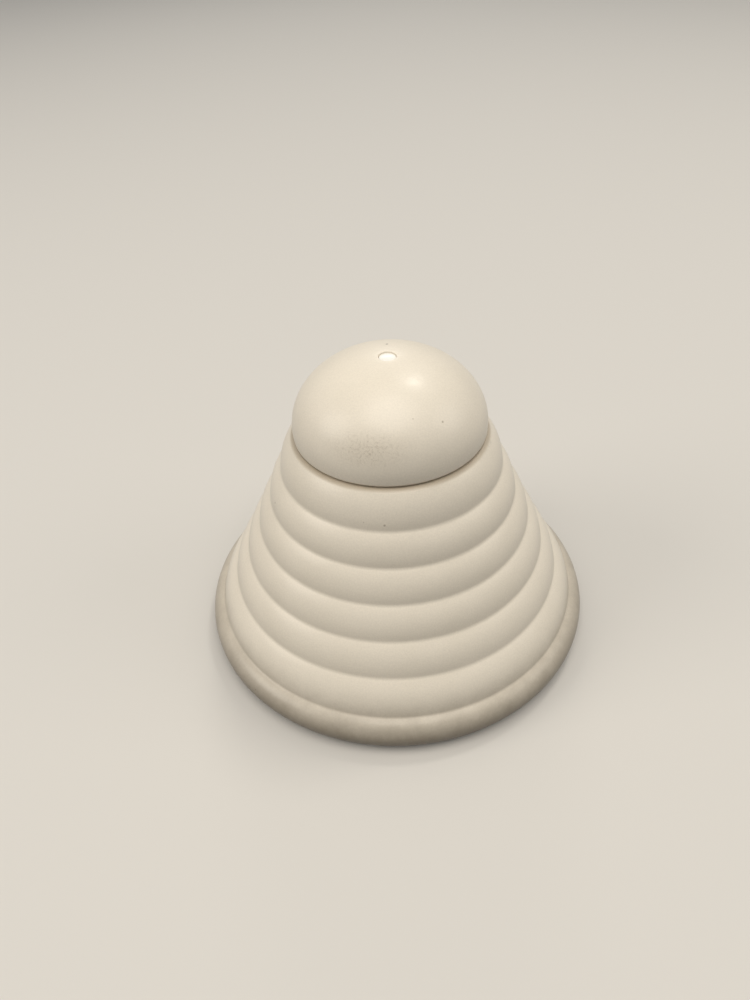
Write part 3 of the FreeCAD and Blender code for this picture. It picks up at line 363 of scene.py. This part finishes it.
@dataclass(frozen=True)
class PressedRubber(Finish):
    """Pressed black rubber: dull, with bloom and lint in a fine pebbled skin."""

    bloom: str = "#3A3833"

    def dress(self, tree: bpy.types.NodeTree, shader: bpy.types.Node) -> None:
        """Wire the pebble to the bump and the bloom to the colour."""
        place = add_node(tree, "ShaderNodeTexCoord").outputs["Object"]
        pebble = add_node(tree, "ShaderNodeTexNoise", {"Vector": place},
                          {"Scale": per_mm(0.4), "Detail": 2.0, "Roughness": 0.6})
        bump = add_node(tree, "ShaderNodeBump", {"Height": pebble.outputs["Fac"]},
                        {"Strength": 1.0, "Distance": 0.03 * MM})
        tree.links.new(bump.outputs["Normal"], shader.inputs["Normal"])
        cloud = add_node(tree, "ShaderNodeTexNoise", {"Vector": place},
                         {"Scale": per_mm(5.0), "Detail": 5.0, "Roughness": 0.7})
        share = add_node(tree, "ShaderNodeMapRange", {"Value": cloud.outputs["Fac"]},
                         {"From Min": 0.4, "From Max": 0.75, "To Min": 0.0, "To Max": 0.8})
        colour = add_node(tree, "ShaderNodeMix", {"Factor": share.outputs["Result"]},
                          {"A": linear(self.colour), "B": linear(self.bloom)}, data_type="RGBA")
        tree.links.new(colour.outputs["Result"], shader.inputs["Base Color"])


@dataclass(frozen=True)
class FiredCeramic(Finish):
    """Unglazed fired alumina: dense, matte and chalky, dusted with ground pepper in its hollows."""

    dust: str = "#8D7B62"

    def dress(self, tree: bpy.types.NodeTree, shader: bpy.types.Node) -> None:
        """Wire the sintered grain to the bump and the pepper dust to the colour."""
        shader.inputs["IOR"].default_value = 1.6
        place = add_node(tree, "ShaderNodeTexCoord").outputs["Object"]
        grain = add_node(tree, "ShaderNodeTexNoise", {"Vector": place},
                         {"Scale": per_mm(0.2), "Detail": 3.0, "Roughness": 0.6})
        bump = add_node(tree, "ShaderNodeBump", {"Height": grain.outputs["Fac"]},
                        {"Strength": 1.0, "Distance": 0.01 * MM})
        tree.links.new(bump.outputs["Normal"], shader.inputs["Normal"])
        cloud = add_node(tree, "ShaderNodeTexNoise", {"Vector": place},
                         {"Scale": per_mm(1.6), "Detail": 6.0, "Roughness": 0.75})
        share = add_node(tree, "ShaderNodeMapRange", {"Value": cloud.outputs["Fac"]},
                         {"From Min": 0.5, "From Max": 0.75, "To Min": 0.0, "To Max": 0.6})
        colour = add_node(tree, "ShaderNodeMix", {"Factor": share.outputs["Result"]},
                          {"A": linear(self.colour), "B": linear(self.dust)}, data_type="RGBA")
        tree.links.new(colour.outputs["Result"], shader.inputs["Base Color"])


def arc_points(start: Vector, finish: Vector, rise: float, steps: int) -> list[Vector]:
    """Points after start on an arc to finish, finish included.

    Args:
        start: First end, as (radius, level).
        finish: Last end.
        rise: Rise of the arc over its chord, on the left of the way.
        steps: Number of straight steps.

    Returns:
        The points in order.
    """
    way = finish - start
    left = Vector((-way.y, way.x)).normalized()
    radius = way.length_squared / (8 * rise) + rise / 2
    centre = (start + finish) / 2 + left * (rise - radius)
    begin = math.atan2(start.y - centre.y, start.x - centre.x)
    sweep = -2 * math.asin(min(1.0, way.length / (2 * radius))) * (1 if rise > 0 else -1)
    if abs(rise) > abs(radius):
        sweep = -2 * math.pi - sweep
    angles = [begin + sweep * step / steps for step in range(1, steps)]
    return [centre + radius * Vector((math.cos(angle), math.sin(angle))) for angle in angles] + [finish]


@dataclass
class Lathe:
    """Closed outline in the half-plane of radius and level, spun about the mill's axis.

    Attributes:
        segments: Steps of a full turn.
        points: Outline so far, in millimetres.
    """

    segments: int = 192
    points: list[Vector] = field(default_factory=list)

    def to(self, radius: float, level: float) -> "Lathe":
        """Go straight to a radius and level."""
        self.points.append(Vector((radius, level)))
        return self

    def round_to(self, radius: float, level: float, rise: float, steps: int = 12) -> "Lathe":
        """Go to a radius and level along an arc that rises on the left of the way."""
        self.points.extend(arc_points(self.points[-1], Vector((radius, level)), rise, steps))
        return self

    def spin(self) -> bmesh.types.BMesh:
        """Spin the closed outline into a solid with outward faces.

        Returns:
            The mesh, in metres.
        """
        solid = bmesh.new()
        ring = [solid.verts.new((point.x * MM, 0.0, point.y * MM)) for point in self.points]
        edges = [solid.edges.new((ring[at], ring[(at + 1) % len(ring)])) for at in range(len(ring))
                 if ring[at].co.x + ring[(at + 1) % len(ring)].co.x > 1e-9]
        bmesh.ops.spin(solid, geom=ring + edges, cent=(0, 0, 0), axis=(0, 0, 1), angle=2 * math.pi,
                       steps=self.segments, use_merge=True)
        bmesh.ops.remove_doubles(solid, verts=solid.verts, dist=1e-7)
        bmesh.ops.recalc_face_normals(solid, faces=solid.faces)
        return solid


def soften(solid: bmesh.types.BMesh, rings: list[tuple[float, float]], width: float, segments: int = 4) -> None:
    """Round the circular edges at given radii and levels.

    Args:
        solid: Mesh to change.
        rings: (radius, level) of each edge, in millimetres.
        width: Width of the rounding, in millimetres.
        segments: Steps across it.
    """
    def on_ring(vert: bmesh.types.BMVert) -> bool:
        """Whether a vertex lies on one of the rings."""
        radius, level = math.hypot(vert.co.x, vert.co.y) / MM, vert.co.z / MM
        return any(abs(radius - ring[0]) < 0.005 and abs(level - ring[1]) < 0.005 for ring in rings)

    edges = [edge for edge in solid.edges if on_ring(edge.verts[0]) and on_ring(edge.verts[1])]
    bmesh.ops.bevel(solid, geom=edges, offset=width * MM, offset_type="OFFSET", segments=segments, profile=0.5,
                    affect="EDGES", clamp_overlap=True, material=-1)


def add_post(solid: bmesh.types.BMesh, place: tuple[float, float], radius: float, low: float, high: float) -> None:
    """Add an upright round post to a mesh.

    Args:
        solid: Mesh to add to.
        place: X and Y of its axis, in millimetres.
        radius: Its radius.
        low: Level of its foot.
        high: Level of its top.
    """
    bmesh.ops.create_cone(solid, cap_ends=True, segments=40, radius1=radius * MM, radius2=radius * MM,
                          depth=(high - low) * MM,
                          matrix=Matrix.Translation(Vector((place[0], place[1], (low + high) / 2)) * MM))


def around(count: int, radius: float) -> list[tuple[float, float]]:
    """Places of count points spread evenly on a circle, the first on +X."""
    return [(radius * math.cos(2 * math.pi * at / count), radius * math.sin(2 * math.pi * at / count))
            for at in range(count)]


def finish_piece(name: str, solid: bmesh.types.BMesh, material: bpy.types.Material, body: str,
                 nodes: list[str], sharp: float = 40.0) -> bpy.types.Object:
    """Turn a mesh into a piece of the mill that stands for its construction nodes.

    Args:
        name: Name of the piece.
        solid: Its mesh, which is freed.
        material: Its finish.
        body: Moving body that it rides on.
        nodes: Construction nodes that it stands for.
        sharp: Edges bent by more than this angle stay sharp, in degrees.

    Returns:
        The new object.
    """
    mesh = bpy.data.meshes.new(name)
    solid.to_mesh(mesh)
    solid.free()
    mesh.materials.append(material)
    mesh.shade_smooth()
    mesh.set_sharp_from_angle(angle=math.radians(sharp))
    piece = bpy.data.objects.new(name, mesh)
    bpy.context.scene.collection.objects.link(piece)
    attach(piece, body)
    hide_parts(*nodes)
    LOG.info("%s: %d faces, stands for %s", name, len(mesh.polygons), ", ".join(nodes))
    return piece


@dataclass
class RibbedBody:
    """Ribbed cone with its rolled rim, shoulder and screw bosses, and the rubber foot under the rim.

    The sizes are those of the construction model, in millimetres.
    """

    skirt_radius: float = 46.0
    neck_radius: float = 22.8
    flare_sag: float = 1.1
    lower_rib: float = 8.2
    middle_rib: float = 7.7
    upper_rib: float = 8.5
    rib_bulge: float = 0.88
    crease_fillet: float = 0.45
    wall: float = 2.6
    shoulder_wall: float = 3.0
    mouth_radius: float = 16.6
    crease_fillet_rim: float = 0.9
    neck_round: float = 0.8
    foot_stand: float = 0.5
    rim_rise: float = 8.5
    rim_overhang: float = 3.5
    rim_lip: float = 0.6
    glide_outer: float = 19.6
    glide_width: float = 2.0
    groove_depth: float = 0.7
    foot_height: float = 2.4
    foot_width: float = 2.0
    foot_inset: float = 1.1
    boss_inset: float = 8.0
    boss_radius: float = 3.2
    plate_top: float = 7.5
    fit: float = 0.1

    def crease(self, number: int) -> tuple[float, float]:
        """Radius and level of a crease, from the rim (0) up to the neck (6)."""
        rise = self.lower_rib + 4 * self.middle_rib + self.upper_rib
        above = 0.0 if number == 0 else rise if number == 6 else self.lower_rib + (number - 1) * self.middle_rib
        share = above / rise
        radius = (self.skirt_radius - (self.skirt_radius - self.neck_radius) * share
                  - self.flare_sag * 4 * share * (1 - share))
        return radius, self.foot_stand + self.rim_rise + above

    def shell(self) -> bmesh.types.BMesh:
        """Mesh of the shell.

        Returns:
            A closed solid with rounded creases and edges.
        """
        creases = [self.crease(number) for number in range(7)]
        rim_radius = self.skirt_radius + self.rim_overhang
        inner_foot = self.skirt_radius - self.wall
        groove_inner = inner_foot + self.foot_inset
        groove_outer = groove_inner + self.foot_width + 2 * self.fit
        groove_top = self.foot_height + self.fit
        rim_foot = groove_outer + self.rim_lip
        neck_level = creases[6][1]
        lathe = Lathe(segments=256).to(*creases[6])
        for radius, level in reversed(creases[:6]):
            lathe.round_to(radius, level, self.rib_bulge, 14)
        lathe.round_to(rim_foot, self.foot_stand, rim_radius - (self.skirt_radius + rim_foot) / 2, 28)
        lathe.to(groove_outer, self.foot_stand).to(groove_outer, groove_top).to(groove_inner, groove_top)
        lathe.to(groove_inner, self.foot_stand).to(inner_foot, self.foot_stand)
        for radius, level in creases[:6]:
            lathe.to(radius - self.wall, level)
        under = neck_level - self.shoulder_wall
        glide_inner, glide_outer = self.glide_outer - self.glide_width - self.fit, self.glide_outer + self.fit
        lathe.to(self.neck_radius - self.wall / 2, under).to(self.mouth_radius, under)
        lathe.to(self.mouth_radius, neck_level).to(glide_inner, neck_level)
        lathe.to(glide_inner, neck_level - self.groove_depth).to(glide_outer, neck_level - self.groove_depth)
        lathe.to(glide_outer, neck_level)
        solid = lathe.spin()
        soften(solid, creases[1:6], self.crease_fillet)
        soften(solid, creases[:1], self.crease_fillet_rim, 6)
        soften(solid, creases[6:], self.neck_round, 6)
        soften(solid, [(self.mouth_radius, neck_level), (self.mouth_radius, under), (rim_foot, self.foot_stand),
                       (inner_foot, self.foot_stand)], 0.3, 3)
        for place in around(4, self.skirt_radius - self.boss_inset):
            add_post(solid, place, self.boss_radius, self.plate_top, creases[1][1] - 1.0)
        return solid

    def foot(self) -> bmesh.types.BMesh:
        """Mesh of the rubber foot, its lower edges rounded where it is worn."""
        inner = self.skirt_radius - self.wall + self.foot_inset + self.fit
        outer = inner + self.foot_width
        solid = Lathe(segments=192).to(inner, 0).to(outer, 0).to(outer, self.foot_height).to(
            inner, self.foot_height).spin()
        soften(solid, [(inner, 0), (outer, 0)], 0.4, 4)
        return solid

    def build(self, finishes: dict[str, bpy.types.Material]) -> None:
        """Make both pieces.

        Args:
            finishes: Material of each slot.
        """
        finish_piece("ribbed_shell", self.shell(), finishes["cream_plastic"], "body",
                     ["body_shell"])
        finish_piece("rubber_foot", self.foot(), finishes["black_rubber"], "body", ["foot_ring"])


@dataclass
class DomedHead:
    """Oval cap that is turned to grind, with the plug over its crown screw. Sizes in millimetres."""

    radius: float = 22.4
    rise: float = 16.5
    wall: float = 2.6
    waist: float = 2.4
    plug_radius: float = 1.95
    plug_depth: float = 1.0
    plug_recess: float = 0.25
    edge_round: float = 0.8
    steps: int = 40

    def oval(self, lathe: Lathe, across: float, rise: float, level: float, low: float, upwards: bool) -> None:
        """Add an oval's meridian between its top and its lower edge.

        Args:
            lathe: Outline to add to.
            across: Radius at the widest.
            rise: Height over the widest.
            level: Level of the widest.
            low: Level of the lower edge.
            upwards: Whether the way runs from the edge to the top.
        """
        edge = math.asin((low - level) / rise)
        angles = [math.pi / 2 + (edge - math.pi / 2) * step / self.steps for step in range(self.steps + 1)]
        for angle in reversed(angles) if upwards else angles:
            lathe.to(max(0.0, across * math.cos(angle)), level + rise * math.sin(angle))

    def cap(self) -> bmesh.types.BMesh:
        """Mesh of the cap, with the crown's recess."""
        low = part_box("dome_shell")[0].z / MM
        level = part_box("dome_shell")[1].z / MM - self.rise
        hole = self.plug_radius + 0.05
        lathe = Lathe(segments=224)
        self.oval(lathe, self.radius, self.rise, level, low, upwards=False)
        lathe.points = [point for point in lathe.points if point.x > hole + 0.2]
        top = level + self.rise * math.sqrt(1 - (hole / self.radius) ** 2)
        floor = level + self.rise - self.plug_recess - self.plug_depth
        head = Lathe(segments=224).to(0, floor).to(hole, floor).to(hole, top)
        head.points.extend(lathe.points)
        self.oval(head, self.radius - self.wall, self.rise - self.wall, level, low, upwards=True)
        solid = head.spin()
        edge = self.radius * math.cos(math.asin((low - level) / self.rise))
        soften(solid, [(edge, low)], self.edge_round, 5)
        soften(solid, [(hole, top)], 0.12, 3)
        return solid

    def plug(self) -> bmesh.types.BMesh:
        """Mesh of the crown plug: a polished disc, slightly domed, with a rounded edge."""
        low, high = (corner.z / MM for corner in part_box("crown_plug"))
        solid = Lathe(segments=64).to(0, high).round_to(self.plug_radius, high - 0.2, 0.04, 8).to(
            self.plug_radius, low).to(0, low).spin()
        soften(solid, [(self.plug_radius, high - 0.2)], 0.15, 3)
        return solid

    def build(self, finishes: dict[str, bpy.types.Material]) -> None:
        """Make both pieces.

        Args:
            finishes: Material of each slot.
        """
        finish_piece("domed_cap", self.cap(), finishes["cream_plastic"], "head", ["dome_shell"])
        finish_piece("polished_plug", self.plug(), finishes["white_plug"], "head", ["crown_plug"])


@dataclass
class ConeSpring:
    """Coiled spring that presses the cone down. Lengths in metres, as the construction record gives them."""

    joint: str = "rotor_gap"
    node: str = "cone_spring"

    def build(self, frame: dict, finishes: dict[str, bpy.types.Material]) -> None:
        """Make the spring from a merged copy of its construction mesh.

        Args:
            finishes: Material of each slot.
        """
        record = frame["record"]
        entry = next(part for part in record["subparts"] if part["node"] == self.node)
        body = next(name for name, nodes in record["behaviour"]["bodies"].items() if self.node in nodes)
        coils = bmesh.new()
        coils.from_mesh(frame["nodes"][self.node].data)
        bmesh.ops.remove_doubles(coils, verts=coils.verts, dist=1e-7)
        piece = finish_piece("coiled_spring", coils, finishes[entry["material_slot"]], body,
                             [self.node])
        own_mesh(piece)


FINISHES: dict[str, Finish] = {
    "cream_plastic": HandledPlastic("moulded_abs_handled", "#EFE6D5", 0.44, peel_height=0.02),
    "base_plastic": MouldedPlastic("moulded_abs_inside", "#E2DAC8", 0.5, mottle="#CFC5B0"),
    "clear_grey_plastic": MouldedPlastic("glass_filled_nylon", "#8C8E8C", 0.48, mottle="#7C7E7A"),
    "white_plug": MouldedPlastic("polished_abs", "#FBF9F2", 0.16, grain_height=0.0005, peel_height=0.002,
                                 mottle="#EAE6DA"),
    "black_rubber": PressedRubber("pressed_rubber", "#1B1A19", 0.75),
    "white_ceramic": FiredCeramic("fired_alumina", "#EDEAE0", 0.6),
    "acetal": MouldedPlastic("turned_acetal", "#E6E6E0", 0.35, grain_height=0.004, mottle="#DADAD2"),
    "spring_steel": WorkedMetal("bright_spring_steel", "#A9A8A4", 0.3, Axis.ROUND),
    "spindle_steel": WorkedMetal("drawn_stainless_steel", "#B8B7B3", 0.28, Axis.ALONG),
    "zinc_steel": WorkedMetal("zinc_plated_steel", "#B9BBB6", 0.36, Axis.ROUND, tarnish="#9A9A8E"),
    "nut_brass": WorkedMetal("turned_brass", "#C9A35A", 0.3, Axis.ROUND, tarnish="#8F6E3A"),
    "knob_plastic": MouldedPlastic("moulded_black_abs", "#222120", 0.4, mottle="#302E2B"),
}


def dress_frame(frame: dict, finishes: dict[str, bpy.types.Material]) -> None:
    """Give every carried-over construction node the finish of its slot.

    Args:
        finishes: Material of each slot.
    """
    for entry in frame["record"]["subparts"]:
        node = frame["nodes"][entry["node"]]
        for slot in node.material_slots:
            slot.material = finishes[entry["material_slot"]]
        LOG.info("%s: finished as %s", entry["node"], entry["material_slot"])


@dataclass
class Studio:
    """Pale floor, soft lamps and the camera. Lengths in millimetres, angles in degrees."""

    camera_distance: float = 143.0
    camera_height: float = 156.8
    pitch: float = 40.48
    yaw: float = -1.76
    roll: float = -3.22
    lens: float = 27.04
    floor_colour: str = "#D6D3CD"
    floor_bounce: str = "#211F1E"

    def camera(self) -> None:
        """Place the camera: in front of the mill, looking down at it, slightly turned and tilted."""
        yaw, pitch, roll = (math.radians(angle) for angle in (self.yaw, self.pitch, self.roll))
        forward = Vector((math.sin(yaw) * math.cos(pitch), math.cos(yaw) * math.cos(pitch), -math.sin(pitch)))
        level_right = Vector((math.cos(yaw), -math.sin(yaw), 0.0))
        level_up = level_right.cross(forward)
        right = math.cos(roll) * level_right + math.sin(roll) * level_up
        up = -math.sin(roll) * level_right + math.cos(roll) * level_up
        turn = Matrix((right, up, -forward)).transposed().to_4x4()
        data = bpy.data.cameras.new("camera")
        data.lens = self.lens
        data.clip_start = 0.01
        view = bpy.data.objects.new("camera", data)
        view.matrix_world = Matrix.Translation(Vector((0.0, -self.camera_distance, self.camera_height)) * MM) @ turn
        bpy.context.scene.collection.objects.link(view)
        bpy.context.scene.camera = view

    def floor(self) -> None:
        """Lay a wide floor under the foot: pale where it is seen, but dark to the light it would throw back."""
        plane = bmesh.new()
        bmesh.ops.create_grid(plane, x_segments=1, y_segments=1, size=3.0,
                              matrix=Matrix.Translation((0.0, 0.0, -0.0002)))
        mesh = bpy.data.meshes.new("floor")
        plane.to_mesh(mesh)
        plane.free()
        material = bpy.data.materials.new("floor_paper")
        material.use_nodes = True
        shader = next(node for node in material.node_tree.nodes if node.type == "BSDF_PRINCIPLED")
        shader.inputs["Roughness"].default_value = 0.9
        tree = material.node_tree
        path = add_node(tree, "ShaderNodeLightPath")
        seen = add_node(tree, "ShaderNodeMath", {0: path.outputs["Is Camera Ray"], 1: path.outputs["Is Glossy Ray"]},
                        operation="MAXIMUM")
        shown = add_node(tree, "ShaderNodeMath", {0: seen.outputs["Value"], 1: path.outputs["Is Transmission Ray"]},
                         operation="MAXIMUM")
        tone = add_node(tree, "ShaderNodeMix", {"Factor": shown.outputs["Value"]},
                        {"A": linear(self.floor_bounce), "B": linear(self.floor_colour)}, data_type="RGBA")
        tree.links.new(tone.outputs["Result"], shader.inputs["Base Color"])
        mesh.materials.append(material)
        floor = bpy.data.objects.new("floor", mesh)
        bpy.context.scene.collection.objects.link(floor)

    def lamp(self, name: str, place: tuple[float, float, float], size: float, power: float, tint: str) -> None:
        """Hang one soft square lamp that faces the mill.

        Args:
            name: Name of the lamp.
            place: Its centre, in metres.
            size: Its side, in metres.
            power: Its power, in watts.
            tint: Its colour.
        """
        data = bpy.data.lights.new(name, "AREA")
        data.shape = "DISK"
        data.size = size
        data.energy = power
        data.color = linear(tint)[:3]
        lamp = bpy.data.objects.new(name, data)
        lamp.location = place
        lamp.rotation_euler = (Vector((0.0, 0.0, 0.04)) - Vector(place)).to_track_quat("-Z", "Y").to_euler()
        bpy.context.scene.collection.objects.link(lamp)

    def build(self) -> None:
        """Set the whole stage."""
        self.camera()
        self.floor()
        self.lamp("ceiling", (0.05, -0.38, 1.34), 1.15, 8.8, "#FFF8EE")
        self.lamp("left_wall", (-1.1, -0.25, 0.75), 0.8, 4.7, "#FFF8EE")
        self.lamp("right_wall", (1.1, -0.1, 0.75), 0.8, 2.2, "#FFF8EE")
        self.lamp("glint", (0.41, 0.57, 1.21), 0.22, 2.4, "#FFFBF2")
        self.lamp("window", (0.0, 1.3, 0.75), 0.4, 1.0, "#FFFBF4")
        world = bpy.data.worlds.new("studio")
        world.use_nodes = True
        back = next(node for node in world.node_tree.nodes if node.type == "BACKGROUND")
        back.inputs["Color"].default_value = linear("#FFFFFF")
        back.inputs["Strength"].default_value = 0.36
        bpy.context.scene.world = world
        bpy.context.scene.view_settings.view_transform = "Standard"


def main() -> None:
    """Build the mill's looks around its packed construction model."""
    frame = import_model()
    finishes = {slot: finish.build() for slot, finish in FINISHES.items()}
    dress_frame(frame, finishes)
    RibbedBody().build(finishes)
    DomedHead().build(finishes)
    ConeSpring().build(frame, finishes)
    Studio().build()


if __name__ == "__main__":
    logging.basicConfig(level=logging.INFO, format="%(name)s %(message)s")
    main()
